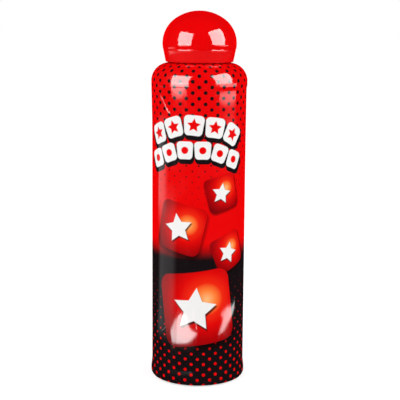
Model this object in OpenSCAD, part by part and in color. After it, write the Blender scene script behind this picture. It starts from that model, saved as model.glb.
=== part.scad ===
// Bingo dauber: a sleeved ink bottle with a spring-valve foam tip and a ball-shaped screw cap.
// Millimetres, +Z up along the bottle's axis, origin at the centre of the base.

/* [Bottle] */
// Diameter over the bumper bands at the shoulder and the base
body_d = 38.1; // [34:0.1:42]
// Height at which the shoulder starts to round
body_h = 121.8; // [90:0.2:140]
// Radius of the shoulder
shoulder_r = 7; // [5:0.25:8.5]
// Radius of the edge round the base
base_r = 2; // [1.5:0.1:2.8]
// Depth of the label panel between the bands
panel_recess = 0.37; // [0.1:0.01:0.6]
// Height of the base band
base_band_h = 3.8; // [3.2:0.1:8]
// Height of the shoulder band
shoulder_band_h = 1.6; // [1:0.1:6]
// Height of the slope from a band to the panel
band_slope_h = 1.2; // [0.6:0.1:3]
// Wall of the body
bottle_wall = 0.7; // [0.5:0.05:1.2]
// Width of the flat ring that the bottle stands on
standing_w = 3.4; // [2:0.1:6]
// Height of the hollow in the base
push_up_h = 2; // [1:0.1:4]

/* [Neck] */
// Height of the neck above the shoulder
neck_h = 8.6; // [7.5:0.1:11]
// Wall of the neck
neck_wall = 1.6; // [1.2:0.05:2.2]
// Height of the thread on the neck, left free in the cap's bore
thread_h = 1; // [0.6:0.05:1.4]

/* [Label sleeve] */
// Thickness of the printed film
film_t = 0.2; // [0.1:0.01:0.4]
// Height of the film's lower edge on the base's rounded edge
film_low = 0.6; // [0.4:0.05:1.2]
// Width of the bare shoulder between the film's upper edge and the neck
film_neck_gap = 1.2; // [0.6:0.1:2]

/* [Foam tip] */
// Diameter of the foam dome
foam_d = 14; // [12:0.1:16]
// Height of the foam above its collar
foam_proud = 4.2; // [3.4:0.1:5.5]
// Height of the straight side of the foam above its collar
foam_side_h = 0.8; // [0.2:0.1:1.2]
// Width of the flange that keeps the foam in
foam_flange_w = 1; // [0.6:0.05:1.4]
// Height of the foam's flange
foam_flange_h = 3.5; // [2.5:0.1:5]
// Stroke of the tip when it is pressed on paper
stroke = 2; // [1:0.1:2.5]

/* [Housing and collar] */
// Wall of the plug that is pressed into the neck
plug_wall = 1.1; // [0.8:0.05:1.6]
// Thickness of the flange on the neck's rim
flange_t = 1; // [0.7:0.05:1.6]
// Height of the spigot that takes the collar
spigot_h = 2; // [1.6:0.1:3]
// Wall of the collar round the spigot
collar_wall = 1.5; // [1:0.05:2.2]
// Thickness of the collar's lip over the foam's flange
lip_t = 1.4; // [0.9:0.05:2.2]
// Radius of the bead that the collar snaps over
snap_r = 0.25; // [0.15:0.01:0.35]
// Thickness of the valve floor
floor_t = 1.4; // [1:0.05:2]
// Length of the skirt below the valve floor
skirt_h = 5; // [4:0.1:6]
// Length of the chamfer at the plug's lower end
lead_in = 0.7; // [0.3:0.05:1]

/* [Valve] */
// Diameter of the port through the valve floor
port_d = 6.4; // [5:0.1:7]
// Width of the raised seat round the port
seat_w = 0.8; // [0.5:0.05:1.2]
// Height of the raised seat
seat_h = 0.4; // [0.2:0.05:0.6]
// Thickness of the plunger's plate
plate_t = 1.5; // [1:0.05:2.2]
// Number of flow holes in the plate
flow_holes = 6; // [4:1:8]
// Diameter of a flow hole
flow_hole_d = 2.2; // [1.2:0.1:2.6]
// Diameter of the plunger's stem
stem_d = 3; // [2.4:0.1:3.6]
// Height of the barb at the stem's end
barb_h = 1; // [0.6:0.05:1.2]
// Thickness of the rubber seal
seal_t = 1; // [0.6:0.05:1.4]
// Width of the seal outside the seat
seal_margin = 0.6; // [0.3:0.05:1]
// Thickness of the poppet's disc
poppet_t = 1.4; // [1:0.05:2]
// Height of the hub under the poppet's disc
hub_h = 1.6; // [1:0.1:1.8]
// Wall of the hub round the stem
hub_wall = 0.8; // [0.5:0.05:1]

/* [Spring and cage] */
// Length of the spring while the valve is shut
spring_len = 6.6; // [6:0.1:8]
// Diameter of the spring wire
wire_d = 0.5; // [0.3:0.05:0.6]
// Turns of the spring
spring_turns = 5; // [4:1:6]
// Gap round the poppet for the ink
flow_gap = 1.6; // [1:0.1:2]
// Wall of the cage
cage_wall = 1; // [0.7:0.05:1.4]
// Thickness of the cage's floor
cage_floor_t = 1.2; // [0.8:0.05:1.8]
// Number of windows in the cage
cage_windows = 4; // [3:1:6]
// Share of the cage's round that the windows open
window_share = 0.55; // [0.3:0.05:0.7]
// Height of the locating boss inside the spring
boss_h = 1; // [0.6:0.1:1.2]

/* [Ink] */
// Headspace between the ink and the cage
ink_headspace = 1.6; // [1:0.1:20]
// Gap between the ink and the bottle's wall
ink_gap = 0.1; // [0.05:0.01:0.3]

/* [Cap] */
// Wall of the cap at its mouth
cap_wall = 1.2; // [0.9:0.05:2.4]
// How far the ball stands out past the mouth
cap_bulge = 1.3; // [0.8:0.01:2]
// Share of the ball's radius that the dome is high
cap_dome_share = 0.87; // [0.8:0.005:0.97]
// Share of the dome's height that its side radius is
cap_side_share = 0.93; // [0.7:0.005:0.96]
// Drop of the parting line below the ball's widest level
seam_drop = 2.2; // [1.5:0.1:3.5]
// Step at the parting line
seam_step = 0.12; // [0.05:0.01:0.3]
// Thickness of the crown above the foam
crown_t = 2.2; // [1.6:0.05:3]
// Free height between the foam and the crown
headroom = 1.2; // [0.6:0.1:2]
// Free width round the foam in the crown
crown_room = 1.5; // [0.8:0.1:2]
// Thickness of the sealing ring
liner_t = 1; // [0.6:0.05:1.6]
// Gap between the cap's mouth and the sleeve
cap_gap = 0.3; // [0.2:0.05:1]

/* [Hidden] */
// Gap between pieces that move past each other
run_gap = 0.3;
// Gap between pieces pushed together
snug = 0.05;
// Gap between the thread's crest and the cap's bore
thread_gap = 0.25;
// Length by which a cut runs past the piece it cuts
over = 1;
// Free length left under the plate at full stroke
stop_gap = 0.6;
// Rise of the cap's inner step above the neck's rim
step_rise = 0.6;
// Share of a dome's height that its side radius is, inside the cap and on the foam
dome_side_share = 0.62;
// Share of the plate's radius at which the flow holes sit
flow_ring_share = 0.64;
// Share of the cage's radius at which the floor holes sit
cage_hole_ring_share = 0.6;
// Share of the cage's radius that a floor hole is wide
cage_hole_share = 0.3;
// Share of the base hollow's width at its top
push_up_top_share = 0.8;
// Width of the weld line in the base hollow
weld_w = 0.6;
// Height of the weld line
weld_h = 0.35;
// Share of the base hollow's top that the weld line crosses
weld_share = 0.85;
// Depth of the recess that centres the seal on the poppet
seal_recess = 0.4;
// Wall round that recess
seal_rim = 0.4;
// Overhang of the barb past the stem
barb_out = 0.4;
// Straight sides round the spring wire
wire_sides = 6;
// Rings of the wire in one turn
rings_per_turn = 16;

band_r = body_d/2;
panel_r = band_r - panel_recess;
shoulder_z = body_h + shoulder_r;
standing_out = band_r - base_r;
standing_in = standing_out - standing_w;

chamber_r = foam_d/2 + foam_flange_w + run_gap;
plug_r = chamber_r + plug_wall;
neck_bore_r = plug_r + snug;
neck_r = neck_bore_r + neck_wall;
rim_z = shoulder_z + neck_h;
flange_z = rim_z + flange_t;
spigot_z = flange_z + spigot_h;
bead_z = flange_z + spigot_h/2;
collar_r = plug_r + snug + collar_wall;
lip_z = spigot_z + snug;
collar_z = lip_z + lip_t;

foam_r = foam_d/2;
foam_flange_z = lip_z - snug;
foam_low = foam_flange_z - foam_flange_h;
foam_top = collar_z + foam_proud;
plate_low = foam_low - plate_t;
plate_r = chamber_r - run_gap;
floor_top = plate_low - stroke - stop_gap;
floor_low = floor_top - floor_t;
seat_z = floor_low - seat_h;

seal_r = port_d/2 + seat_w + seal_margin;
seal_top = seat_z - snug;
poppet_z = seal_top - seal_t;
poppet_r = seal_r + snug + seal_rim;
poppet_low = poppet_z - poppet_t;
hub_r = stem_d/2 + snug + hub_wall;
hub_low = poppet_low - hub_h;

cage_in_r = poppet_r + flow_gap;
cage_r = cage_in_r + cage_wall;
cage_floor_z = poppet_low - spring_len;
cage_low = cage_floor_z - cage_floor_t;
skirt_low = floor_low - skirt_h;
cage_bead_z = (floor_low + skirt_low)/2;
spring_r = hub_r + run_gap + wire_d/2;

ink_z = cage_low - ink_headspace;

cap_low = shoulder_z + film_t + cap_gap;
bore_r = neck_r + thread_h + thread_gap;
mouth_r = bore_r + cap_wall;
ball_r = mouth_r + cap_bulge;
step_z = rim_z + step_rise;
step_r = max(collar_r, neck_r) + run_gap;
land_z = collar_z + liner_t + 2*snug;
crown_r = foam_r + crown_room;
ceiling_z = foam_top + headroom;
cap_top = ceiling_z + crown_t;
dome_h = ball_r*cap_dome_share;
waist_z = cap_top - dome_h;
seam_z = waist_z - seam_drop;
side_r = dome_h*cap_side_share;
seam_r = ball_r - side_r + sqrt(side_r*side_r - seam_drop*seam_drop);

$fn = 96;

// Rectangle between two radii and two heights
module band(r0, r1, z0, z1) {
    translate([r0, z0])
        square([r1 - r0, z1 - z0]);
}

// What a rounded outer corner leaves off a square one, on the side of its centre that is away from the axis
module corner(r, up) {
    size = r + over;
    difference() {
        translate([0, up ? 0 : -size])
            square(size);
        circle(r);
    }
}

// Half outline of a dome: a wide arc over the top runs into a smaller arc at the side. Below the widest
// level the side goes on straight or on the same arc
module dome(half_w, h, side_share, drop, straight) {
    side = h*side_share;
    top = (half_w*half_w + h*h - 2*half_w*side)/(2*(h - side));
    foot = half_w - side;
    lean = atan2(foot, top - h);
    past = half_w + side;
    reach = [foot + past*sin(lean), past*cos(lean)];
    edge = straight ? half_w : half_w + over;
    low = straight ? 0 : -drop - over;
    difference() {
        intersection() {
            translate([0, h - top])
                circle(top);
            band(0, edge, -drop, h + over);
        }
        difference() {
            polygon([
                [foot, low],
                [foot, 0],
                reach,
                [reach[0] + half_w, reach[1]],
                [reach[0] + half_w, low]
            ]);
            translate([foot, 0])
                circle(side);
        }
    }
}

// Half outline of the bottle's body, moved inward
module body_outline(inset) {
    high = body_h - shoulder_band_h;
    difference() {
        polygon([
            [0, inset],
            [band_r - inset, inset],
            [band_r - inset, base_band_h],
            [panel_r - inset, base_band_h + band_slope_h],
            [panel_r - inset, high - band_slope_h],
            [band_r - inset, high],
            [band_r - inset, shoulder_z - inset],
            [0, shoulder_z - inset]
        ]);
        translate([standing_out, base_r])
            corner(base_r - inset, false);
        translate([band_r - shoulder_r, body_h])
            corner(shoulder_r - inset, true);
    }
}

// Half outline of the hollow in the base, grown by the wall that covers it
module push_up(grow) {
    polygon([
        [0, -over],
        [standing_in + grow, -over],
        [standing_in + grow, 0],
        [standing_in*push_up_top_share + grow, push_up_h + grow],
        [0, push_up_h + grow]
    ]);
}

module bottle() {
    weld_l = 2*standing_in*push_up_top_share*weld_share;
    color("whitesmoke") {
        rotate_extrude()
            difference() {
                union() {
                    body_outline(0);
                    band(0, neck_r, body_h, rim_z);
                }
                difference() {
                    body_outline(bottle_wall);
                    push_up(bottle_wall);
                }
                band(0, neck_bore_r, body_h, rim_z + over);
                push_up(0);
            }
        translate([-weld_l/2, -weld_w/2, push_up_h - weld_h])
            cube([weld_l, weld_w, weld_h + bottle_wall/2]);
    }
}

module label_sleeve() {
    color("red")
        rotate_extrude()
            difference() {
                body_outline(-film_t);
                body_outline(0);
                band(0, band_r + over, -over, film_low);
                band(0, neck_r + film_neck_gap, body_h, shoulder_z + over);
            }
}

module ink() {
    color("darkred")
        rotate_extrude()
            difference() {
                body_outline(bottle_wall + ink_gap);
                push_up(bottle_wall + ink_gap);
                band(0, band_r, ink_z, shoulder_z);
            }
}

module tip_housing() {
    bore = cage_r + snug;
    color("white")
        rotate_extrude()
            difference() {
                union() {
                    polygon([
                        [0, skirt_low],
                        [plug_r - lead_in, skirt_low],
                        [plug_r, skirt_low + lead_in],
                        [plug_r, spigot_z],
                        [0, spigot_z]
                    ]);
                    band(0, neck_r, rim_z, flange_z);
                    translate([plug_r, bead_z])
                        circle(snap_r);
                }
                band(0, chamber_r, floor_top, spigot_z + over);
                band(0, port_d/2, skirt_low, floor_top + over);
                band(0, port_d/2 + seat_w, skirt_low - over, seat_z);
                band(port_d/2 + seat_w, bore, skirt_low - over, floor_low);
                translate([bore, cage_bead_z])
                    circle(snap_r);
            }
}

module tip_collar() {
    color("white")
        rotate_extrude()
            difference() {
                band(foam_r + run_gap, collar_r, flange_z, collar_z);
                band(0, plug_r + snug, flange_z - over, lip_z);
                translate([plug_r + snug, bead_z])
                    circle(snap_r);
            }
}

module foam_tip() {
    dome_z = collar_z + foam_side_h;
    sunk = dome_z - foam_flange_z + foam_flange_h/2;
    color("mistyrose")
        rotate_extrude() {
            band(0, foam_r + foam_flange_w, foam_low, foam_flange_z);
            translate([0, dome_z])
                dome(foam_r, foam_top - dome_z, dome_side_share, sunk, true);
        }
}

module valve_plunger() {
    barb_top = hub_low - snug;
    color("white")
        difference() {
            rotate_extrude() {
                band(0, plate_r, plate_low, foam_low);
                band(0, stem_d/2, barb_top - barb_h/4, plate_low + plate_t/2);
                polygon([
                    [0, barb_top - barb_h],
                    [stem_d/2 - barb_out, barb_top - barb_h],
                    [stem_d/2 + barb_out, barb_top],
                    [0, barb_top]
                ]);
            }
            for (i = [0 : flow_holes - 1])
                rotate(360*i/flow_holes)
                    translate([plate_r*flow_ring_share, 0, plate_low - over])
                        cylinder(d = flow_hole_d, h = plate_t + 2*over);
        }
}

module valve_seal() {
    color("dimgray")
        rotate_extrude()
            band(stem_d/2 + snug, seal_r, poppet_z, seal_top);
}

module valve_poppet() {
    color("gainsboro")
        rotate_extrude()
            difference() {
                union() {
                    band(0, poppet_r, poppet_low, poppet_z + seal_recess);
                    band(0, hub_r, hub_low, poppet_low + poppet_t/2);
                }
                band(0, seal_r + snug, poppet_z, poppet_z + seal_recess + over);
                band(0, stem_d/2 + snug, hub_low - over, poppet_z + over);
            }
}

// Point on the spring wire's skin: turn, then place round the wire
function wire_point(turn, side) =
    let (
        rise = (spring_len - wire_d - 2*snug)*turn/spring_turns,
        out = spring_r + wire_d/2*cos(side),
        z = cage_floor_z + snug + wire_d/2 + rise + wire_d/2*sin(side)
    )
    [out*cos(360*turn), out*sin(360*turn), z];

module valve_spring() {
    rings = spring_turns*rings_per_turn;
    points = [
        for (i = [0 : rings])
            for (j = [0 : wire_sides - 1])
                wire_point(i/rings_per_turn, 360*j/wire_sides)
    ];
    skin = [
        for (i = [0 : rings - 1])
            for (j = [0 : wire_sides - 1])
                let (k = (j + 1)%wire_sides, a = i*wire_sides, b = a + wire_sides)
                [a + j, b + j, b + k, a + k]
    ];
    start = [for (j = [0 : wire_sides - 1]) j];
    end = [for (j = [0 : wire_sides - 1]) (rings + 1)*wire_sides - 1 - j];
    echo(coil_gap = (spring_len - wire_d - 2*snug)/spring_turns - wire_d);
    color("silver")
        polyhedron(points, concat(skin, [start, end]));
}

module spring_cage() {
    span = 360*window_share/cage_windows;
    color("white")
        difference() {
            rotate_extrude()
                difference() {
                    union() {
                        band(0, cage_r, cage_low, floor_low - snug);
                        translate([cage_r, cage_bead_z])
                            circle(snap_r);
                    }
                    band(hub_r, cage_in_r, cage_floor_z, floor_low);
                    band(0, cage_in_r, cage_floor_z + boss_h, floor_low);
                }
            for (i = [0 : cage_windows - 1])
                rotate(360*i/cage_windows) {
                    rotate(-span/2)
                        translate([0, 0, cage_floor_z])
                            rotate_extrude(angle = span)
                                band(cage_in_r - cage_wall/2, cage_r + over, 0, skirt_low - cage_floor_z);
                    translate([cage_r*cage_hole_ring_share, 0, cage_low - over])
                        cylinder(d = cage_r*cage_hole_share, h = cage_floor_t + 2*over);
                }
        }
}

module cap() {
    color("crimson")
        rotate_extrude()
            difference() {
                union() {
                    translate([0, waist_z])
                        dome(ball_r, dome_h, cap_side_share, seam_drop, false);
                    polygon([
                        [0, cap_low],
                        [mouth_r, cap_low],
                        [seam_r - seam_step, seam_z],
                        [seam_r - seam_step, waist_z],
                        [0, waist_z]
                    ]);
                }
                band(0, bore_r, cap_low - over, step_z);
                band(0, step_r, cap_low - over, land_z);
                translate([0, land_z])
                    dome(crown_r, ceiling_z - land_z, dome_side_share, liner_t, false);
            }
}

module cap_liner() {
    color("ivory")
        rotate_extrude()
            band(crown_r, step_r - run_gap, collar_z + snug, land_z - snug);
}

bottle();
label_sleeve();
ink();
tip_housing();
tip_collar();
foam_tip();
valve_plunger();
valve_seal();
valve_poppet();
valve_spring();
spring_cage();
cap();
cap_liner();
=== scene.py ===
import math
import bpy
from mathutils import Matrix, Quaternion, Vector, noise


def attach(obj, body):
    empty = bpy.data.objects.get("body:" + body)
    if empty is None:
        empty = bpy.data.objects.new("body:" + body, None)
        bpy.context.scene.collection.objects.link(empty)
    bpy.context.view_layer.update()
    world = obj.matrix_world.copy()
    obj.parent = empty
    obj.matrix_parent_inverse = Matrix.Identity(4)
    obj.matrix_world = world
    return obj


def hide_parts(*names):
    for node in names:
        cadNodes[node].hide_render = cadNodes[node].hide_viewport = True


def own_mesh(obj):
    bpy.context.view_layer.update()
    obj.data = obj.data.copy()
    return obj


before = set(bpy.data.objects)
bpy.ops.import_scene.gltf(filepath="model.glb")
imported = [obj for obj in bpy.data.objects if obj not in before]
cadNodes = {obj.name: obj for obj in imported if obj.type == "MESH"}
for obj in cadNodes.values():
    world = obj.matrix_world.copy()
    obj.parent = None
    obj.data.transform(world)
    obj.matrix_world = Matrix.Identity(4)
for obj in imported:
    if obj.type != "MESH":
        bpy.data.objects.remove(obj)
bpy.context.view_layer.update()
mm = 0.001


# sums on sockets

class Wire:  # a socket that can stand in a sum
    def __init__(self, bench, socket):
        self.bench = bench
        self.socket = socket

    def other(self, name):  # another output of the same node
        return Wire(self.bench, self.socket.node.outputs[name])

    def math(self, operation, *values):
        return self.bench.node("ShaderNodeMath", {"operation": operation}, dict(enumerate((self,) + values)))

    def flip(self, operation, value):
        return self.bench.node("ShaderNodeMath", {"operation": operation}, {0: value, 1: self})

    def __add__(self, value):
        return self.math("ADD", value)

    def __radd__(self, value):
        return self.math("ADD", value)

    def __sub__(self, value):
        return self.math("SUBTRACT", value)

    def __rsub__(self, value):
        return self.flip("SUBTRACT", value)

    def __mul__(self, value):
        return self.math("MULTIPLY", value)

    def __rmul__(self, value):
        return self.math("MULTIPLY", value)

    def __truediv__(self, value):
        return self.math("DIVIDE", value)

    def __rtruediv__(self, value):
        return self.flip("DIVIDE", value)

    def __pow__(self, value):
        return self.math("POWER", value)

    def __mod__(self, value):
        return self.math("FLOORED_MODULO", value)

    def __neg__(self):
        return self.math("MULTIPLY", -1.0)

    def __abs__(self):
        return self.math("ABSOLUTE")

    def low(self, value):
        return self.math("MINIMUM", value)

    def high(self, value):
        return self.math("MAXIMUM", value)

    def sine(self):
        return self.math("SINE")

    def cosine(self):
        return self.math("COSINE")

    def held(self, lowest=0.0, highest=1.0):
        return self.bench.node("ShaderNodeClamp", {}, {"Value": self, "Min": lowest, "Max": highest})

    def ease(self, start, stop, first=0.0, last=1.0):  # smooth change between two values
        span = {"Value": self, "From Min": start, "From Max": stop, "To Min": first, "To Max": last}
        return self.bench.node("ShaderNodeMapRange", {"interpolation_type": "SMOOTHSTEP"}, span)


class Bench:  # one node tree at work
    def __init__(self, tree):
        self.tree = tree

    def node(self, kind, settings=None, sockets=None, out=0):
        made = self.tree.nodes.new(kind)
        for key, value in (settings or {}).items():
            if key == "stops":
                ramp = made.color_ramp.elements
                while len(ramp) < len(value):
                    ramp.new(0.5)
                for element, (place, colour) in zip(ramp, value):
                    element.position = place
                    element.color = (*colour, 1.0)
            else:
                setattr(made, key, value)
        for key, value in (sockets or {}).items():
            if isinstance(value, Wire):
                self.tree.links.new(value.socket, made.inputs[key])
            else:
                made.inputs[key].default_value = value
        return Wire(self, made.outputs[out]) if made.outputs else made

    def blend(self, share, first, second):  # colour mix
        first, second = [v if isinstance(v, Wire) else (*v, 1.0) for v in (first, second)]
        return self.node("ShaderNodeMix", {"data_type": "RGBA"}, {0: share, 6: first, 7: second}, 2)

    def place(self, scale=1000.0):  # object coordinates in millimetres
        here = self.node("ShaderNodeTexCoord", {}, {}, "Object")
        return self.node("ShaderNodeVectorMath", {"operation": "SCALE"}, {0: here, "Scale": scale})

    def grain(self, size, detail=3.0, at=None, rough=0.5):  # noise, size in millimetres
        return self.node("ShaderNodeTexNoise", {}, {"Vector": at or self.place(), "Scale": 1.0 / size,
                                                    "Detail": detail, "Roughness": rough})

    def bump(self, height, strength, distance, under=None):
        sockets = {"Height": height, "Strength": strength, "Distance": distance}
        if under:
            sockets["Normal"] = under
        return self.node("ShaderNodeBump", {}, sockets)


def finish(name, build):  # a material whose surface comes from build(bench)
    material = bpy.data.materials.new(name)
    material.use_nodes = True
    tree = material.node_tree
    tree.nodes.clear()
    bench = Bench(tree)
    surface = build(bench)
    bench.node("ShaderNodeOutputMaterial", {}, {"Surface": surface})
    return material


def plastic(bench, colour, roughness, normal=None, ior=1.5, **more):
    sockets = {"Base Color": colour if isinstance(colour, Wire) else (*colour, 1.0), "Roughness": roughness,
               "IOR": ior}
    if normal:
        sockets["Normal"] = normal
    sockets.update(more)
    return bench.node("ShaderNodeBsdfPrincipled", {}, sockets)


edgeFade = {"start": 0.48, "stop": 0.66, "roughness": 0.6}    # how far a face is turned away


def polished(bench, colour, roughness, normal, **more):  # gloss that gives way to a plain matt edge
    bright = plastic(bench, colour, roughness, normal, **more)
    matt = plastic(bench, colour, edgeFade["roughness"], normal, **{"Specular IOR Level": 0.0})
    slant = bench.node("ShaderNodeLayerWeight", {}, {"Blend": 0.5}, "Facing")
    share = slant.ease(edgeFade["start"], edgeFade["stop"])
    return bench.node("ShaderNodeMixShader", {}, {0: share, 1: bright, 2: matt})


def moulded(name, pale, dark, grainSize, smooth, rough, lift):  # plain moulded plastic
    def build(bench):
        cloud = bench.grain(grainSize * 14, 4.0)
        fine = bench.grain(grainSize, 2.0)
        colour = bench.blend(cloud.ease(0.3, 0.7), dark, pale)
        gloss = smooth + (rough - smooth) * cloud * fine * 2.0
        grained = bench.bump(fine, 0.35, lift * mm)
        return polished(bench, colour, gloss, grained, **{"Specular IOR Level": 0.2})
    return finish(name, build)


print("shader sums ready")


# turned shapes

def arc(centreR, centreZ, radius, start, stop, bits):
    turns = [math.radians(start + (stop - start) * i / bits) for i in range(bits + 1)]
    return [(centreR + radius * math.cos(a), centreZ + radius * math.sin(a)) for a in turns]


def eased(corners, bits=5):  # (r, z, radius): an outline with its corners rounded
    line = []
    last = len(corners) - 1
    for i, (r, z, radius) in enumerate(corners):
        if radius == 0 or i in (0, last):
            line.append((r, z))
            continue
        here = Vector((r, z))
        back = Vector(corners[i - 1][:2]) - here
        on = Vector(corners[i + 1][:2]) - here
        cut = min(radius / math.tan(back.angle(on) / 2), 0.49 * back.length, 0.49 * on.length)
        a, b = here + back.normalized() * cut, here + on.normalized() * cut
        for k in range(bits + 1):
            t = k / bits
            p = a * (1 - t) ** 2 + here * 2 * t * (1 - t) + b * t ** 2
            line.append((p.x, p.y))
    return line


def split(line, longest):  # no step of the outline longer than this
    out = [line[0]]
    for a, b in zip(line, line[1:]):
        parts = max(1, math.ceil(math.dist(a, b) / longest))
        out += [(a[0] + (b[0] - a[0]) * i / parts, a[1] + (b[1] - a[1]) * i / parts)
                for i in range(1, parts + 1)]
    return out


def turned(name, line, around, closed=False, sharp=35.0, uvLengths=None):
    verts, rings = [], []
    for r, z in line:
        start = len(verts)
        if r < 1e-6:
            verts.append((0, 0, z * mm))
            rings.append([start] * (around + 1))
            continue
        for k in range(around):
            a = math.tau * (k / around + 0.25)
            verts.append((r * mm * math.cos(a), r * mm * math.sin(a), z * mm))
        rings.append([start + k for k in range(around)] + [start])
    pairs = list(zip(range(len(rings)), range(1, len(rings))))
    if closed:
        pairs.append((len(rings) - 1, 0))
    faces, uvs = [], []
    for i, j in pairs:
        this, following = rings[i], rings[j]
        for k in range(around):
            quad = [(this[k], k, i), (this[k + 1], k + 1, i),
                    (following[k + 1], k + 1, j), (following[k], k, j)]
            if this[k] == this[k + 1]:
                quad.pop(0)
            elif following[k] == following[k + 1]:
                quad.pop(2)
            if len({v for v, _, _ in quad}) < 3:
                continue
            faces.append([v for v, _, _ in quad])
            if uvLengths:
                uvs += [(k / around, uvLengths[n]) for _, k, n in quad]
    mesh = bpy.data.meshes.new(name)
    mesh.from_pydata(verts, [], faces)
    if uvLengths:
        layer = mesh.uv_layers.new(name="print")
        layer.data.foreach_set("uv", [c for uv in uvs for c in uv])
    mesh.shade_smooth()
    mesh.set_sharp_from_angle(angle=math.radians(sharp))
    piece = bpy.data.objects.new(name, mesh)
    bpy.context.scene.collection.objects.link(piece)
    return piece


def dress(piece, material, body, slot, *nodes):
    piece.data.materials.clear()
    piece.data.materials.append(material)
    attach(piece, body)
    if nodes:
        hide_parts(*nodes)
    return piece


# printed sleeve

sleeve = {
    "filmOut": 0.2, "thick": 0.17, "bandR": 19.05, "panelR": 18.68, "baseR": 2.0, "shoulderR": 7.0,
    "low": 0.6, "bandTop": 3.4, "panelLow": 6.4, "taperLow": 100.0, "taper": 0.1, "panelHigh": 119.0,
    "bandLow": 120.2, "bodyHigh": 121.8, "neckEdge": 11.45, "lip": 0.75, "lipLean": 0.05, "lipEasing": 0.3,
    "easing": 2.4, "taperEasing": 400.0, "around": 224, "step": 1.6, "printLow": 0.45,
    "bridge": {"low": 104.0, "high": 121.0, "turns": (-150.0, -100.0, -16.0, 4.0)},
    "folds": [(-14.6, 113.1, 36.0, 3.9, 0.34), (-0.95, 28.1, 10.0, 4.0, 0.16),
              (-15.2, 22.6, -48.0, 1.5, 0.18)],       # place on the film, turn, half length, width
    "overlap": (0.318, 0.32),                         # the film's edge at the side, shares of the girth
    "tucks": 46.0, "tucked": (127.0, 131.4),          # small gathers at the neck
    "polish": 0.055, "rub": 0.05, "haze": 0.02, "neckDull": 0.25, "dent": 0.30, "crease": 0.10,
}
artwork = {
    "red": (0.80, 0.0010, 0.0016), "black": (0.0085, 0.0052, 0.0062), "white": (0.88, 0.87, 0.86),
    "change": (52.0, 60.0),          # heights between which red turns black
    "dotsAround": 24, "dotRise": 4.35, "dotShift": 0.75, "soft": 0.22,
    "blackDot": (0.75, 0.16, 118.0, 72.0), "redDot": (0.64, 0.12, 4.0, 44.0),   # big, small, their heights
    "rows": [{"top": 109.9, "tall": 8.4, "count": 5, "pitch": 8.5, "mark": "star"},
             {"top": 99.8, "tall": 7.4, "count": 6, "pitch": 7.1, "mark": "disc"}],
    "block": {"wide": 0.45, "tall": 0.47, "corner": 0.2, "star": 0.33, "disc": 0.19},   # shares of its row
    "arch": 41.0, "rowShift": 2.0, "tilt": 5.0, "shadow": (0.35, -1.5), "shadowGrow": 0.4,
    "shadowSteps": (1.0, 0.66, 0.33),
    "tiles": [(9.8, 79.0, 6.8, 14.0), (-7.6, 65.0, 9.8, -13.0), (13.2, 55.0, 7.2, 21.0),
              (-0.4, 32.5, 15.0, 8.0)],              # place, half width, turn
    "tile": {"corner": 0.32, "fall": (0.04, 0.12), "fallEdge": (0.16, 0.1), "spot": (0.30, 0.22),
             "reach": 1.72, "star": 0.60, "starShift": (0.06, 0.02), "starFall": (0.03, 0.06),
             "starTurn": 1.6},                       # shares of the half width and of the turn
    "fall": (0.006, 0.001, 0.001), "fallDepth": 0.75, "starGrow": 0.05, "starFallGrow": 0.12,
    "glow": [(0.0, (1.0, 0.50, 0.20)), (0.14, (0.98, 0.22, 0.04)), (0.26, (0.86, 0.020, 0.005)),
             (0.42, (0.74, 0.002, 0.002)), (0.66, (0.40, 0.0008, 0.002)), (0.88, (0.21, 0.0005, 0.002)),
             (1.0, (0.13, 0.0003, 0.001))],
}


def sleeveLine():
    s = sleeve
    out = s["filmOut"]
    band, panel = s["bandR"] + out, s["panelR"] + out
    base, shoulder = s["baseR"] + out, s["shoulderR"] + out
    lowCentre, highCentre = s["bandR"] - s["baseR"], s["bandR"] - s["shoulderR"]
    top = s["bodyHigh"] + shoulder
    start = math.degrees(math.asin((s["low"] - s["baseR"]) / base))
    wall = eased([(band, s["baseR"], 0), (band, s["bandTop"], s["easing"]),
                  (panel, s["panelLow"], s["easing"]), (panel, s["taperLow"], s["taperEasing"]),
                  (panel + s["taper"], s["panelHigh"], s["easing"]),
                  (band, s["bandLow"], s["easing"]), (band, s["bodyHigh"], 0)], 6)
    lip = eased([(highCentre, top, 0), (s["neckEdge"], top, s["lipEasing"]),
                 (s["neckEdge"] - s["lipLean"], top + s["lip"], 0)], 4)
    line = arc(lowCentre, s["baseR"], base, start, 0, 8) + wall[1:-1]
    line += arc(highCentre, s["bodyHigh"], shoulder, 0, 90, 22) + lip[1:]
    return split(line, s["step"])


def inset(line, depth):  # the same outline, a little further in
    inner = []
    for i, (r, z) in enumerate(line):
        before, after = line[max(i - 1, 0)], line[min(i + 1, len(line) - 1)]
        run = Vector((after[0] - before[0], after[1] - before[1])).normalized()
        inner.append((r - run.y * depth, z + run.x * depth))
    return inner


def smooth(value, start, stop):
    t = min(1.0, max(0.0, (value - start) / (stop - start)))
    return t * t * (3 - 2 * t)


# at the left the film spans the groove under the shoulder instead of sinking into it
def bridged(piece, outside):
    b, panel = sleeve["bridge"], sleeve["panelR"] + sleeve["filmOut"]
    step = sleeve["bandR"] - sleeve["panelR"]
    for i, v in enumerate(piece.data.vertices):
        z, far = v.co.z / mm, math.hypot(v.co.x, v.co.y) / mm
        if not b["low"] < z < b["high"]:
            continue
        turn = math.degrees(math.atan2(v.co.x, -v.co.y))
        share = smooth(turn, *b["turns"][:2]) * smooth(turn, *b["turns"][:1:-1])
        sunk = far if i < outside else far + sleeve["thick"]
        lift = max(0.0, panel + step * (z - b["low"]) / (b["high"] - b["low"]) - sunk) * share
        v.co.x, v.co.y = v.co.x * (far + lift) / far, v.co.y * (far + lift) / far


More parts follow.
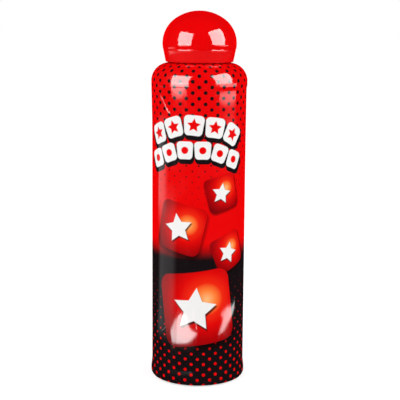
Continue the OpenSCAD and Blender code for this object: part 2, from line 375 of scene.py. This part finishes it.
def sleevePiece():
    outer = sleeveLine()
    inner = inset(outer, sleeve["thick"])
    run = [0.0]
    for a, b in zip(outer, outer[1:]):
        run.append(run[-1] + math.dist(a, b))
    shares = [x / run[-1] for x in run]
    shell = outer + inner[::-1]
    piece = turned("printed_sleeve", shell, sleeve["around"], True, 50.0, shares + shares[::-1])
    bridged(piece, len(outer) * sleeve["around"])
    return piece, run[-1]


def cover(distance, soft):  # 1 inside an outline, 0 outside
    return (0.5 - distance / soft).held()


def length(x, y):
    return (x * x + y * y) ** 0.5


def turnedBy(x, y, degrees):
    c, s = math.cos(math.radians(degrees)), math.sin(math.radians(degrees))
    return x * c + y * s, y * c - x * s


def starShape(x, y, reach, waist=0.5):  # distance outside a five-pointed star
    fold = math.tau / 5
    turn = abs((x.math("ARCTAN2", y) + fold / 2) % fold - fold / 2)
    far = length(x, y)
    across, along = far * turn.sine(), far * turn.cosine()
    tip = Vector((0.0, reach))
    notch = Vector((reach * waist * math.sin(fold / 2), reach * waist * math.cos(fold / 2)))
    edge = (notch - tip).normalized()
    return across * -edge.y + (along - reach) * edge.x


def tileShape(x, y, halfWide, halfTall, corner):  # distance outside a block with round corners
    qx, qy = abs(x) - (halfWide - corner), abs(y) - (halfTall - corner)
    return length(qx.high(0.0), qy.high(0.0)) + qx.high(qy).low(0.0) - corner


def archRow(x, y, row):  # arched row of blocks: distance, then the place in one block
    r = artwork["arch"] - row["tall"] / 2
    down = y - (row["top"] - artwork["arch"])
    along = x.math("ARCTAN2", down) * r
    up = length(x, down) - r
    pitch = row["pitch"]
    moved = along + (pitch / 2 if row["count"] % 2 else pitch)
    lean = ((moved / pitch).math("FLOOR") % 2.0) * 2.0 - 1.0
    spot = moved % pitch - pitch / 2
    c, s = math.cos(math.radians(artwork["tilt"])), math.sin(math.radians(artwork["tilt"]))
    px, py = spot * c + up * lean * s, up * c - spot * lean * s
    size = artwork["block"]
    block = tileShape(px, py, pitch * size["wide"], row["tall"] * size["tall"], row["tall"] * size["corner"])
    return block.high(abs(along) - row["count"] * pitch / 2), px, py


def film(bench, filmLength):
    art = artwork
    girth = math.tau * (sleeve["panelR"] + sleeve["filmOut"])
    uv = bench.node("ShaderNodeUVMap", {"uv_map": "print"})
    parts = bench.node("ShaderNodeSeparateXYZ", {}, {0: uv})
    x = (parts - 0.5) * girth
    y = parts.other("Y") * filmLength + sleeve["printLow"]

    # halftone ground: black dots on red above, red dots on black below
    pitch, rise = girth / art["dotsAround"], art["dotRise"]
    ax, ay = abs((x + pitch / 2) % pitch - pitch / 2), abs((y - art["dotShift"]) % rise - rise / 2)
    near = length(ax, ay).low(length(pitch / 2 - ax, rise / 2 - ay))
    big, small, high, low = art["blackDot"]
    blackDots = cover(near - y.ease(low, high, small, big), art["soft"]) * y.ease(low - 4, low + 3)
    big, small, low, high = art["redDot"]
    redDots = cover(near - y.ease(low, high, big, small), art["soft"]) * y.ease(high + 2, high - 4)
    dark = y.ease(art["change"][1], art["change"][0])
    colour = bench.blend(dark, art["red"], art["black"])
    colour = bench.blend(blackDots, colour, art["black"])
    colour = bench.blend(redDots, colour, art["red"])

    # the front's pattern comes again on the back
    fx = (x + girth / 4) % (girth / 2) - girth / 4

    # glowing tiles, each with a star
    tile, soft = art["tile"], art["soft"]
    for tx, ty, half, turn in art["tiles"]:
        px, py = turnedBy(fx - tx, y - ty, turn)
        corner, reach = half * tile["corner"], half * tile["star"]
        edge = tileShape(px, py, half, half, corner)
        fall = tileShape(px - half * tile["fall"][0], py + half * tile["fall"][1], half, half, corner)
        fall = fall.ease(half * tile["fallEdge"][0], -half * tile["fallEdge"][1]) * art["fallDepth"]
        colour = bench.blend(fall, colour, art["fall"])
        spot = length(px - half * tile["spot"][0], py - half * tile["spot"][1]) / (half * tile["reach"])
        glow = bench.node("ShaderNodeValToRGB", {"stops": art["glow"]}, {"Fac": spot})
        colour = bench.blend(cover(edge, soft), colour, glow)
        shiftX, shiftY = tile["starShift"]
        sx, sy = turnedBy(px + half * shiftX, py + half * shiftY, -turn * tile["starTurn"])
        under = starShape(sx - half * tile["starFall"][0], sy + half * tile["starFall"][1], reach)
        colour = bench.blend(cover(under - art["starFallGrow"], soft * 2) * 0.85, colour, art["black"])
        star = starShape(sx, sy, reach) - art["starGrow"]
        colour = bench.blend(cover(star, soft), colour, art["white"])

    # two arched rows of white blocks with a dropped shadow, pierced by stars and discs
    for row in art["rows"]:
        rx = fx + art["rowShift"]
        for k in art["shadowSteps"]:
            drop = archRow(rx - art["shadow"][0] * k, y - art["shadow"][1] * k, row)[0]
            colour = bench.blend(cover(drop - art["shadowGrow"], soft), colour, art["black"])
        block, px, py = archRow(rx, y, row)
        colour = bench.blend(cover(block, soft), colour, art["white"])
        if row["mark"] == "star":
            mark = starShape(px, py, row["tall"] * art["block"]["star"])
        else:
            mark = length(px, py) - row["tall"] * art["block"]["disc"]
        colour = bench.blend(cover(mark.high(block), soft), colour, art["red"])

    # film gloss with faint handling, shallow dents, creases with a painted highlight along each fold, the
    # overlap and the tucks at the neck
    here = bench.place()
    rub = bench.grain(9.0, 5.0, here)
    haze = bench.grain(0.5, 2.0, here)
    gloss = sleeve["polish"] + rub.ease(0.42, 0.75) * sleeve["rub"] + haze * sleeve["haze"]
    gloss = gloss + y.ease(128.0, 131.0) * sleeve["neckDull"]
    dents = bench.grain(17.0, 1.0, here)
    sway = (bench.grain(3.0, 2.0, here) - 0.5) * 1.6
    crease = 0.0
    for foldX, foldY, turn, half, width in sleeve["folds"]:
        across, along = turnedBy(x - foldX, y - foldY, turn)
        crease = (1.0 - abs(across + sway) / width).held() * cover(abs(along) - half, 1.6) + crease
    # painted highlight: the creases are painted pale pink, as if each fold caught the light
    colour = bench.blend(crease * 0.3, colour, (0.95, 0.62, 0.60))
    lap = x.ease(girth * sleeve["overlap"][0], girth * sleeve["overlap"][1])
    tucks = ((x * (math.tau / girth) * sleeve["tucks"]).sine() * 0.5 + 0.5) * y.ease(*sleeve["tucked"])
    normal = bench.bump(dents, 0.55, sleeve["dent"] * mm)
    normal = bench.bump(crease + lap * 0.5 + tucks * 0.6, 0.6, sleeve["crease"] * mm, normal)
    return polished(bench, colour, gloss, normal)


sleeveObject, filmLength = sleevePiece()
sleeveFinish = finish("printed_film", lambda bench: film(bench, filmLength))
dress(sleeveObject, sleeveFinish, "bottle", "printed_film", "label_sleeve")
print("sleeve:", len(sleeveObject.data.polygons), "faces, film", round(filmLength, 1), "mm long")


# cap

cap = {
    "low": 129.3, "mouthR": 13.5, "boreR": 12.3, "ballR": 14.8, "domeShare": 0.87, "sideShare": 0.93,
    "top": 149.45, "seamDrop": 2.2, "seamStep": 0.12, "bead": 0.13, "stepZ": 138.0, "stepR": 11.35,
    "landZ": 142.95, "crownR": 8.5, "ceiling": 147.25, "innerShare": 0.62, "lead": 0.5, "leadWide": 0.35,
    "gateR": 0.5, "gateTall": 0.16, "gateShy": 0.01, "around": 160,
    "dullSkirt": (134.4, 133.9), "polish": 0.045, "scuff": 0.07, "speck": 0.02, "dull": 0.10,
}


def domeArcs(half, high, share):  # side radius, its centre, top radius, the angle where they meet
    side = high * share
    top = (half * half + high * high - 2 * half * side) / (2 * (high - side))
    foot = half - side
    return side, foot, top, 90 - math.degrees(math.atan2(foot, top - high))


def capPiece():
    c = cap
    high = c["ballR"] * c["domeShare"]
    side, foot, top, meet = domeArcs(c["ballR"], high, c["sideShare"])
    waist = c["top"] - high
    drop = math.degrees(math.asin(c["seamDrop"] / side))
    seamR = foot + side * math.cos(math.radians(drop))
    seamZ = waist - c["seamDrop"]
    inHigh = c["ceiling"] - c["landZ"]
    inSide, inFoot, inTop, inMeet = domeArcs(c["crownR"], inHigh, c["innerShare"])
    bead = arc(seamR - c["seamStep"] - c["bead"] * 0.55, seamZ + c["bead"] * 0.4, c["bead"], -70, 20, 6)
    leadZ = c["low"] + c["lead"]
    skirt = eased([(c["boreR"], leadZ, 0), (c["boreR"] + c["leadWide"], c["low"], 0.2),
                   (c["mouthR"], c["low"], 0.4), (seamR - c["seamStep"], seamZ - 0.25, 0)], 4)
    ball = arc(foot, waist, side, 0.9 - drop, meet, 34) + arc(0, c["top"] - top, top, meet, 86, 24)[1:]
    gate, nub = c["top"] - c["gateTall"], c["top"] - c["gateShy"]   # moulding gate: a dish with a nub in it
    ball += eased([(*ball[-1], 0), (c["gateR"] * 1.7, gate, 0.3), (c["gateR"], gate, 0.1),
                   (c["gateR"] * 0.8, nub, 0.1), (0.0, nub, 0)], 4)[1:]
    crown = arc(0, c["ceiling"] - inTop, inTop, 90, inMeet, 12)[1:]
    crown += arc(inFoot, c["landZ"], inSide, inMeet, 0, 8)[1:]
    inside = eased([(c["crownR"], c["landZ"], 0), (c["stepR"], c["landZ"], 0.3),
                    (c["stepR"], c["stepZ"], 0.25), (c["boreR"], c["stepZ"], 0.4),
                    (c["boreR"], leadZ, 0)], 4)
    line = split(skirt, 0.9) + bead + ball + [(0.0, c["ceiling"])] + crown + inside[1:-1]
    return turned("screw_cap", line, c["around"], True, 40.0)


def capRed(bench):
    here = bench.place()
    flow = bench.grain(24.0, 3.0, here)
    speck = bench.grain(0.7, 3.0, here, 0.6)
    colour = bench.blend(flow.ease(0.3, 0.72), (0.74, 0.0012, 0.0020), (0.82, 0.0008, 0.0014))
    scuff = bench.grain(5.0, 6.0, here, 0.7).ease(0.55, 0.8)
    height = bench.node("ShaderNodeSeparateXYZ", {}, {0: here}).other("Z")
    gloss = cap["polish"] + scuff * cap["scuff"] + speck * cap["speck"]
    gloss = gloss + height.ease(*cap["dullSkirt"]) * cap["dull"]      # the skirt is duller
    return polished(bench, colour, gloss, bench.bump(speck, 0.12, 0.012 * mm))


capObject = capPiece()
capFinish = finish("cap_red", capRed)
dress(capObject, capFinish, "cap", "cap_red", "cap")
print("cap:", len(capObject.data.polygons), "faces")


# threads and spring, from node trees that wind a section along a helix

thread = {
    "lead": 8.0, "starts": 2, "turns": 0.72, "tall": 0.95, "rootWidth": 1.7, "crestWidth": 0.8, "sink": 0.12,
    "neckR": 11.05, "neckLow": 130.6, "boreR": 12.3, "capLow": 130.9, "capTall": 0.72, "capTurn": 92.0,
}
spring = {
    "low": 122.25, "high": 128.25, "radius": 2.9, "wire": 0.5, "turns": 5.0, "closing": 0.62, "bits": 44,
}


def treeWith(name, inputs):
    tree = bpy.data.node_groups.new(name, "GeometryNodeTree")
    tree.interface.new_socket(name="Geometry", in_out="OUTPUT", socket_type="NodeSocketGeometry")
    ids = {}
    for label, kind in inputs.items():
        made = tree.interface.new_socket(name=label, in_out="INPUT", socket_type="NodeSocket" + kind)
        ids[label] = made.identifier
    bench = Bench(tree)
    entry = bench.node("NodeGroupInput")
    return tree, bench, {label: entry.other(label) for label in inputs}, ids


def closeTree(bench, geometry, material):
    real = bench.node("GeometryNodeRealizeInstances", {}, {"Geometry": geometry})
    made = bench.node("GeometryNodeSetMaterial", {}, {"Geometry": real, "Material": material})
    bench.node("NodeGroupOutput", {}, {"Geometry": made})


def ridgeTree(material):  # ridges that wind round the axis, fading at both ends
    tree, bench, given, ids = treeWith("threadRidges", {
        "Starts": "Int", "Turns": "Float", "Lead": "Float", "Root": "Float", "Crest": "Float",
        "Root Width": "Float", "Crest Width": "Float", "Low": "Float", "Turn": "Float"})
    size = {"Size X": 1.0, "Size Y": 1.0, "Vertices X": 97, "Vertices Y": 7}
    grid = bench.node("GeometryNodeMeshGrid", {}, size)
    spot = bench.node("ShaderNodeSeparateXYZ", {}, {0: bench.node("GeometryNodeInputPosition")})
    along, across = spot + 0.5, spot.other("Y") + 0.5
    fade = along.ease(0.0, 0.09) * along.ease(1.0, 0.91)
    stage = across * 6.0
    flank = 1.0 - (abs(stage - 3.0) - 1.0).held()        # 0 at the roots, 1 on the crest
    sway = (stage - 3.0).held(-1.0, 1.0) * given["Crest Width"] * 0.5
    slope = given["Root Width"] - given["Crest Width"]
    spread = ((stage - 4.0).held() - (2.0 - stage).held()) * slope * 0.5
    tuck = (stage - 5.0).held() - (1.0 - stage).held()   # the first and last rows close the root
    height = (sway + spread - tuck * given["Root Width"] * 0.5) * (fade * 0.8 + 0.2)
    reach = given["Root"] + (given["Crest"] - given["Root"]) * flank * fade
    angle = (along * given["Turns"]) * math.tau + given["Turn"]
    climb = given["Low"] + along * given["Turns"] * given["Lead"] + height
    x, y = reach * angle.cosine(), reach * angle.sine()
    point = bench.node("ShaderNodeCombineXYZ", {}, {0: x, 1: y, 2: climb})
    ridge = bench.node("GeometryNodeSetPosition", {}, {"Geometry": grid, "Position": point})
    ridge = bench.node("GeometryNodeMergeByDistance", {}, {"Geometry": ridge, "Distance": 1e-6})
    spots = bench.node("GeometryNodeMeshLine", {}, {"Count": given["Starts"], "Offset": (0.0, 0.0, 0.0)})
    each = bench.node("GeometryNodeInputIndex") * math.tau / given["Starts"]
    spin = bench.node("ShaderNodeCombineXYZ", {}, {2: each})
    copies = bench.node("GeometryNodeInstanceOnPoints", {},
                        {"Points": spots, "Instance": ridge, "Rotation": spin})
    closeTree(bench, copies, material)
    return tree, ids


def coilTree(material):  # a spring with its end coils drawn close
    tree, bench, given, ids = treeWith("springCoil", {
        "Turns": "Float", "Radius": "Float", "Wire": "Float", "Low": "Float", "Rise": "Float",
        "Closing": "Float", "Points": "Int"})
    path = bench.node("GeometryNodeCurvePrimitiveLine", {}, {"Start": (0, 0, 0), "End": (0, 0, 1)})
    path = bench.node("GeometryNodeResampleCurve", {}, {"Curve": path, "Count": given["Points"]})
    share = bench.node("GeometryNodeSplineParameter")
    angle = share * given["Turns"] * math.tau
    climb = share - (share * math.tau).sine() * given["Closing"] / math.tau
    x, y = given["Radius"] * angle.cosine(), given["Radius"] * angle.sine()
    point = bench.node("ShaderNodeCombineXYZ", {}, {0: x, 1: y, 2: given["Low"] + climb * given["Rise"]})
    path = bench.node("GeometryNodeSetPosition", {}, {"Geometry": path, "Position": point})
    section = bench.node("GeometryNodeCurvePrimitiveCircle", {},
                         {"Resolution": 12, "Radius": given["Wire"] * 0.5})
    coil = bench.node("GeometryNodeCurveToMesh", {},
                      {"Curve": path, "Profile Curve": section, "Fill Caps": True})
    coil = bench.node("GeometryNodeSetShadeSmooth", {}, {"Geometry": coil})
    closeTree(bench, coil, material)
    return tree, ids


def grown(name, tree, ids, values):  # runs a node tree once and keeps its mesh
    seed = bpy.data.objects.new(name + "_seed", bpy.data.meshes.new(name + "_seed"))
    bpy.context.scene.collection.objects.link(seed)
    modifier = seed.modifiers.new("grow", "NODES")
    modifier.node_group = tree
    for label, value in values.items():
        modifier[ids[label]] = value
    bpy.context.view_layer.update()
    ready = seed.evaluated_get(bpy.context.evaluated_depsgraph_get())
    mesh = bpy.data.meshes.new_from_object(ready)
    seed.modifiers.clear()
    bpy.data.objects.remove(seed)
    mesh.name = name
    mesh.shade_smooth()
    mesh.set_sharp_from_angle(angle=math.radians(40))
    piece = bpy.data.objects.new(name, mesh)
    bpy.context.scene.collection.objects.link(piece)
    return piece


def steel(bench):
    here = bench.place()
    drawn = bench.grain(0.25, 4.0, here, 0.7)
    colour = bench.blend(drawn.ease(0.3, 0.7), (0.50, 0.49, 0.47), (0.68, 0.67, 0.65))
    return bench.node("ShaderNodeBsdfPrincipled", {}, {"Base Color": colour, "Metallic": 1.0,
                      "Roughness": 0.22 + drawn * 0.14, "Normal": bench.bump(drawn, 0.2, 0.01 * mm)})


bottleWhite = moulded("bottle_white", (0.72, 0.72, 0.70), (0.66, 0.66, 0.64), 0.45, 0.36, 0.52, 0.02)
mouldingWhite = moulded("moulding_white", (0.75, 0.75, 0.73), (0.69, 0.69, 0.67), 0.3, 0.36, 0.52, 0.02)
springSteel = finish("spring_steel", steel)

t = thread
shared = {"Starts": t["starts"], "Turns": t["turns"], "Lead": t["lead"] * mm,
          "Root Width": t["rootWidth"] * mm, "Crest Width": t["crestWidth"] * mm}
tree, ids = ridgeTree(bottleWhite)
neckThread = grown("neck_thread", tree, ids, {
    **shared, "Root": (t["neckR"] - t["sink"]) * mm, "Crest": (t["neckR"] + t["tall"]) * mm,
    "Low": t["neckLow"] * mm, "Turn": 0.0})
dress(neckThread, bottleWhite, "bottle", "bottle_white")
tree, ids = ridgeTree(capFinish)
capThread = grown("cap_thread", tree, ids, {
    **shared, "Root": (t["boreR"] + t["sink"]) * mm, "Crest": (t["boreR"] - t["capTall"]) * mm,
    "Low": t["capLow"] * mm, "Turn": math.radians(t["capTurn"])})
capThread.data.flip_normals()
dress(capThread, capFinish, "cap", "cap_red")
tree, ids = coilTree(springSteel)
s = spring
coil = grown("valve_coil", tree, ids, {
    "Turns": s["turns"], "Radius": s["radius"] * mm, "Wire": s["wire"] * mm, "Low": s["low"] * mm,
    "Rise": (s["high"] - s["low"]) * mm, "Closing": s["closing"], "Points": int(s["turns"] * s["bits"])})
dress(coil, springSteel, "bottle", "spring_steel", "valve_spring")
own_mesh(coil)
print("threads and spring:", *[len(p.data.polygons) for p in (neckThread, capThread, coil)], "faces")


# foam tip

foam = {
    "flangeR": 8.0, "low": 136.9, "flangeTop": 140.4, "r": 7.0, "domeZ": 142.65, "top": 146.05, "share": 0.62,
    "around": 220, "step": 0.16, "pore": 0.42, "pit": 0.16, "bare": 141.2, "swell": 1.4,
}


def foamPiece():
    f = foam
    side, foot, top, meet = domeArcs(f["r"], f["top"] - f["domeZ"], f["share"])
    line = eased([(0.0, f["low"], 0), (f["flangeR"], f["low"], 0.4), (f["flangeR"], f["flangeTop"], 0.3),
                  (f["r"], f["flangeTop"], 0.2), (f["r"], f["domeZ"], 0)], 4)
    line += arc(foot, f["domeZ"], side, 0, meet, 16)[1:] + arc(0, f["top"] - top, top, meet, 90, 34)[1:]
    line[-1] = (0.0, f["top"])
    piece = turned("foam_dauber", split(line, f["step"]), f["around"], False, 60.0)
    spots = [(v.co.copy(), v.normal.copy()) for v in piece.data.vertices]
    for v, (spot, out) in zip(piece.data.vertices, spots):  # open cells: pits sink in, nothing stands out
        if spot.z < f["bare"] * mm:
            continue
        cell = noise.voronoi(spot / (f["pore"] * mm))[0][0]
        pit = max(0.0, 0.62 - cell) + 0.35 * abs(noise.noise(spot / (f["swell"] * mm)))
        v.co = spot - out * (f["pit"] * mm * min(1.0, pit * 1.3))
    return piece


def foamSkin(bench):
    here = bench.place()
    cells = bench.node("ShaderNodeTexVoronoi", {}, {"Vector": here, "Scale": 1.0 / foam["pore"]})
    stain = bench.grain(3.2, 4.0, here)
    wet = bench.blend(stain.ease(0.32, 0.68), (0.50, 0.004, 0.010), (0.72, 0.020, 0.030))
    # painted shade: the foam is painted dark in the hollows of its open cells, where the pits sink in
    colour = bench.blend(cells.ease(0.15, 0.75), (0.22, 0.001, 0.004), wet)
    return plastic(bench, colour, 0.86 + cells * 0.12, bench.bump(cells, 0.5, 0.12 * mm), 1.4)


foamObject = foamPiece()
dress(foamObject, finish("dauber_foam", foamSkin), "tip", "foam", "foam_tip")
print("foam:", len(foamObject.data.polygons), "faces")


# collar round the foam

collar = {
    "inR": 7.3, "outR": 10.95, "low": 138.4, "lip": 140.45, "top": 141.85, "plugR": 9.45, "beadZ": 139.4,
    "bead": 0.25, "lead": 0.4, "around": 128,
}


def collarPiece():
    c = collar
    plug, wide = c["plugR"], c["plugR"] + c["bead"]
    line = eased([(plug, c["low"] + c["lead"], 0), (wide, c["low"], 0.1), (c["outR"], c["low"], 0.25),
                  (c["outR"], c["top"], 0.8), (c["inR"], c["top"], 0.45), (c["inR"], c["lip"], 0.15),
                  (plug, c["lip"], 0.1), (plug, c["beadZ"] + c["bead"], 0.05), (wide, c["beadZ"], 0.1),
                  (plug, c["beadZ"] - c["bead"], 0)], 5)
    return turned("foam_collar", line, c["around"], True, 40.0)


collarObject = collarPiece()
dress(collarObject, mouldingWhite, "bottle", "moulding_white", "tip_collar")
print("collar:", len(collarObject.data.polygons), "faces")


# finishes of the solids that stay as they are

def inkFluid(bench):
    swirl = bench.grain(14.0, 4.0)
    colour = bench.blend(swirl.ease(0.3, 0.7), (0.34, 0.001, 0.004), (0.56, 0.004, 0.010))
    return plastic(bench, colour, 0.04 + swirl * 0.04, bench.bump(swirl, 0.1, 0.2 * mm), 1.36)


def sealRubber(bench):
    bloom = bench.grain(1.1, 4.0)
    colour = bench.blend(bloom.ease(0.35, 0.7), (0.022, 0.022, 0.022), (0.055, 0.053, 0.050))
    return plastic(bench, colour, 0.55 + bloom * 0.25, bench.bump(bloom, 0.4, 0.03 * mm), 1.5)


def linerFoam(bench):
    cells = bench.node("ShaderNodeTexVoronoi", {}, {"Vector": bench.place(), "Scale": 1.0 / 0.25})
    # painted shade: each foam cell is painted a little darker in its hollow, where the bump sinks in
    colour = bench.blend(cells.ease(0.1, 0.7), (0.78, 0.78, 0.74), (0.90, 0.90, 0.87))
    return plastic(bench, colour, 0.5 + cells * 0.2, bench.bump(cells, 0.4, 0.04 * mm), 1.5)


looks = {
    "bottle": bottleWhite, "tip_housing": mouldingWhite, "valve_plunger": mouldingWhite,
    "valve_poppet": mouldingWhite, "spring_cage": mouldingWhite, "ink": finish("ink_red", inkFluid),
    "valve_seal": finish("seal_rubber", sealRubber), "cap_liner": finish("liner_white", linerFoam),
}
for node, material in looks.items():
    slots = cadNodes[node].material_slots
    if slots:
        for entry in slots:
            entry.material = material
    else:
        cadNodes[node].data.materials.append(material)
print("finishes set on", len(looks), "solids")


# floor, lights, camera

floorPlan = {"half": 9.0, "drop": 0.0002, "pale": 0.86, "glow": 0.50, "shade": 0.80}
room = {"fill": 0.62, "dark": 0.006, "radius": 3.2, "table": 0.0004, "cardLift": 0.0004, "focus": 0.125}
lamps = {  # azimuth from the camera's side, elevation, distance, width, height, level, "gloss" or "fill"
    "leftBox": (-47.5, 19.0, 0.80, 0.66, 0.61, 13.0, "gloss"),
    "leftSkirt": (-47.5, -3.4, 0.86, 0.71, 0.086, 10.0, "gloss"),
    "rightBox": (61.5, 22.0, 0.80, 0.70, 0.74, 13.0, "gloss"),
    "rightSkirt": (74.0, -4.35, 0.88, 0.80, 0.049, 3.6, "gloss"),
    "backLeft": (-166.0, 12.0, 1.20, 0.40, 0.45, 9.0, "gloss"),
    "backRight": (166.0, 12.0, 1.20, 0.40, 0.45, 9.0, "gloss"),
    "leftFill": (-62.0, 20.0, 1.60, 1.70, 1.30, 2.0, "fill"),
    "rightFill": (66.0, 22.0, 1.60, 1.70, 1.30, 2.0, "fill"),
}
eye = {
    "distance": 0.430, "elevation": 10.0, "lens": 94.73, "sensor": 36.0, "pixels": 400,
    "aim": (0.0006, 0.0, 0.07325), "roll": 0.42,
}
tableCards = {  # level, and the picture points where the film mirrors the corners of a low card
    "leftCard": (15.0, [(180.6, 315.7), (186.3, 320.6), (190.9, 332.1), (197.8, 334.8), (194.0, 337.5),
                        (187.9, 342.2), (180.2, 343.0), (172.2, 341.6), (170.3, 330.6), (174.5, 322.5)]),
    "rightCard": (9.0, [(220.0, 314.5), (227.5, 308.5), (234.9, 302.7), (233.0, 311.5), (227.6, 323.7),
                        (218.1, 334.0), (221.5, 324.5), (224.0, 316.0)]),
}
veil = {  # a soft pale stretch of table to the left, in millimetres, and where it fades in and out
    "corners": [(-40, -37), (-62, 33), (-980, 520), (-900, -830)],
    "near": {"level": 0.63, "turns": (-50.0, -68.0, -115.0, -99.0), "reach": (62.0, 95.0, 520.0, 390.0)},
    "away": {"level": 1.3, "turns": (-78.0, -97.0, -118.0, -112.0), "reach": (330.0, 480.0, 900.0, 760.0)},
}
flag = {"inner": 13.9, "outer": 23.5, "z": 129.2, "turns": (-128, -22)}    # keeps the veil off the cap


def bearing(azimuth, elevation):
    a, e = math.radians(azimuth), math.radians(elevation)
    return Vector((math.sin(a) * math.cos(e), -math.cos(a) * math.cos(e), math.sin(e)))


def eyeStand():  # the camera's place and turn
    away = bearing(0.0, eye["elevation"])
    turn = Quaternion(away, math.radians(eye["roll"])) @ (-away).to_track_quat("-Z", "Y")
    return Vector(eye["aim"]) + away * eye["distance"], turn


def cardCorner(across, down):  # follows a picture point's view to the film's wall and, mirrored, to the card
    spot, turn = eyeStand()
    scale, middle = eye["sensor"] / eye["lens"] / eye["pixels"], eye["pixels"] / 2
    view = turn @ Vector(((across - middle) * scale, (middle - down) * scale, -1.0))
    wall = (sleeve["panelR"] + sleeve["filmOut"]) * mm
    run, lead = view.xy.length_squared, view.xy.dot(spot.xy)
    hit = spot + view * ((-lead - math.sqrt(lead ** 2 - run * (spot.xy.length_squared - wall ** 2))) / run)
    out = Vector((hit.x, hit.y, 0.0)).normalized()
    view = view - out * (2 * view.dot(out))
    return hit + view * ((room["table"] + room["cardLift"] - hit.z) / view.z)


def lamp(name, level, width, height, spot, facing, use):
    data = bpy.data.lights.new(name, "AREA")
    data.shape = "RECTANGLE"
    data.size, data.size_y = width, height
    data.energy = level * math.pi * width * height
    made = bpy.data.objects.new(name, data)
    bpy.context.scene.collection.objects.link(made)
    made.location = spot
    made.rotation_mode = "QUATERNION"
    made.rotation_quaternion = facing
    made.visible_camera = False
    made.visible_transmission = False
    if use == "gloss":
        made.visible_diffuse = False
    else:
        made.visible_glossy = False
    return made


def sheet(name, verts, faces, build):
    mesh = bpy.data.meshes.new(name)
    mesh.from_pydata(verts, [], faces)
    mesh.materials.append(finish(name, build))
    made = bpy.data.objects.new(name, mesh)
    bpy.context.scene.collection.objects.link(made)
    return made


def seen(bench):  # one mask for camera, gloss and glass rays
    path = bench.node("ShaderNodeLightPath", {}, {}, "Is Camera Ray")
    return (path + path.other("Is Glossy Ray") + path.other("Is Transmission Ray")).held()


def paleFloor(bench):
    mottle = bench.grain(60.0, 2.0).ease(0.0, 1.0, 0.985, 1.0)
    pale = mottle * floorPlan["pale"]
    tone = bench.node("ShaderNodeCombineColor", {}, {0: pale, 1: pale, 2: pale})
    plain = bench.node("ShaderNodeBsdfDiffuse", {}, {"Color": tone})
    shade = bench.node("ShaderNodeBsdfDiffuse", {}, {"Color": (*[floorPlan["shade"]] * 3, 1.0)})
    glow = bench.node("ShaderNodeEmission", {}, {"Color": (1, 1, 1, 1), "Strength": floorPlan["glow"]})
    bright = bench.node("ShaderNodeAddShader", {}, {0: shade, 1: glow})
    return bench.node("ShaderNodeMixShader", {}, {0: seen(bench), 1: plain, 2: bright})


def glowing(level):
    return lambda bench: bench.node("ShaderNodeEmission", {}, {"Color": (1, 1, 1, 1), "Strength": level})


def paleVeil(bench):
    spot = bench.node("ShaderNodeSeparateXYZ", {}, {0: bench.place()})
    far = length(spot, spot.other("Y"))
    turn = spot.math("ARCTAN2", -spot.other("Y")) * (180 / math.pi)
    pale = 0.0
    for part in (veil["near"], veil["away"]):
        a, b, c, d = part["turns"]
        e, f, g, h = part["reach"]
        pale = turn.ease(a, b) * turn.ease(c, d) * far.ease(e, f) * far.ease(g, h) * part["level"] + pale
    tone = bench.node("ShaderNodeCombineColor", {}, {0: pale, 1: pale, 2: pale})
    return bench.node("ShaderNodeEmission", {}, {"Color": tone, "Strength": 1.0})


def mirrored(made):  # seen in gloss only
    made.visible_camera = made.visible_diffuse = made.visible_shadow = made.visible_transmission = False


def studio():
    h, z = floorPlan["half"], -floorPlan["drop"]
    sheet("pale_floor", [(-h, -h, z), (h, -h, z), (h, h, z), (-h, h, z)], [(0, 1, 2, 3)], paleFloor)
    table, radius = room["table"] / mm, room["radius"] / mm
    line = [(0.0, table)] + arc(0.0, table, radius, 0, 90, 15)
    line[-1] = (0.0, table + radius)
    tent = turned("dark_tent", line, 32)      # the dark room round the boxes
    tent.data.materials.append(finish("dark_tent", glowing(room["dark"])))
    mirrored(tent)

    turns = range(flag["turns"][0], flag["turns"][1] + 1, 2)
    inner = [bearing(a, 0.0) * flag["inner"] * mm for a in turns]
    outer = [bearing(a, 0.0) * flag["outer"] * mm for a in reversed(turns)]
    ring = [(p.x, p.y, flag["z"] * mm) for p in inner + outer]
    mirrored(sheet("dark_flag", ring, [range(len(ring))], glowing(room["dark"])))

    focus = Vector((0, 0, room["focus"]))
    for name, (azimuth, elevation, distance, width, height, level, use) in lamps.items():
        away = bearing(azimuth, elevation)
        lamp(name, level, width, height, focus + away * distance, away.to_track_quat("Z", "Y"), use)
    for name, (level, points) in tableCards.items():
        lying = [cardCorner(*point) for point in points]
        mirrored(sheet(name, lying, [range(len(lying))], glowing(level)))
    lying = [(x * mm, y * mm, room["table"] + room["cardLift"]) for x, y in veil["corners"]]
    mirrored(sheet("paleVeil", lying, [range(len(lying))], paleVeil))

    world = bpy.data.worlds.new("studio")
    bpy.context.scene.world = world
    world.use_nodes = True
    world.node_tree.nodes.clear()
    bench = Bench(world.node_tree)
    fill = bench.node("ShaderNodeBackground", {}, {"Color": (1, 1, 1, 1), "Strength": room["fill"]})
    white = bench.node("ShaderNodeBackground", {}, {"Color": (1, 1, 1, 1), "Strength": 1.0})
    both = bench.node("ShaderNodeMixShader", {}, {0: seen(bench), 1: fill, 2: white})
    bench.node("ShaderNodeOutputWorld", {}, {"Surface": both})


def camera():
    data = bpy.data.cameras.new("camera")
    made = bpy.data.objects.new("camera", data)
    bpy.context.scene.collection.objects.link(made)
    data.lens = eye["lens"]
    data.sensor_width = eye["sensor"]
    data.clip_start, data.clip_end = 0.01, 50.0
    made.rotation_mode = "QUATERNION"
    made.location, made.rotation_quaternion = eyeStand()
    bpy.context.scene.camera = made


studio()
camera()
bpy.context.scene.view_settings.view_transform = "Standard"
print("studio and camera ready")
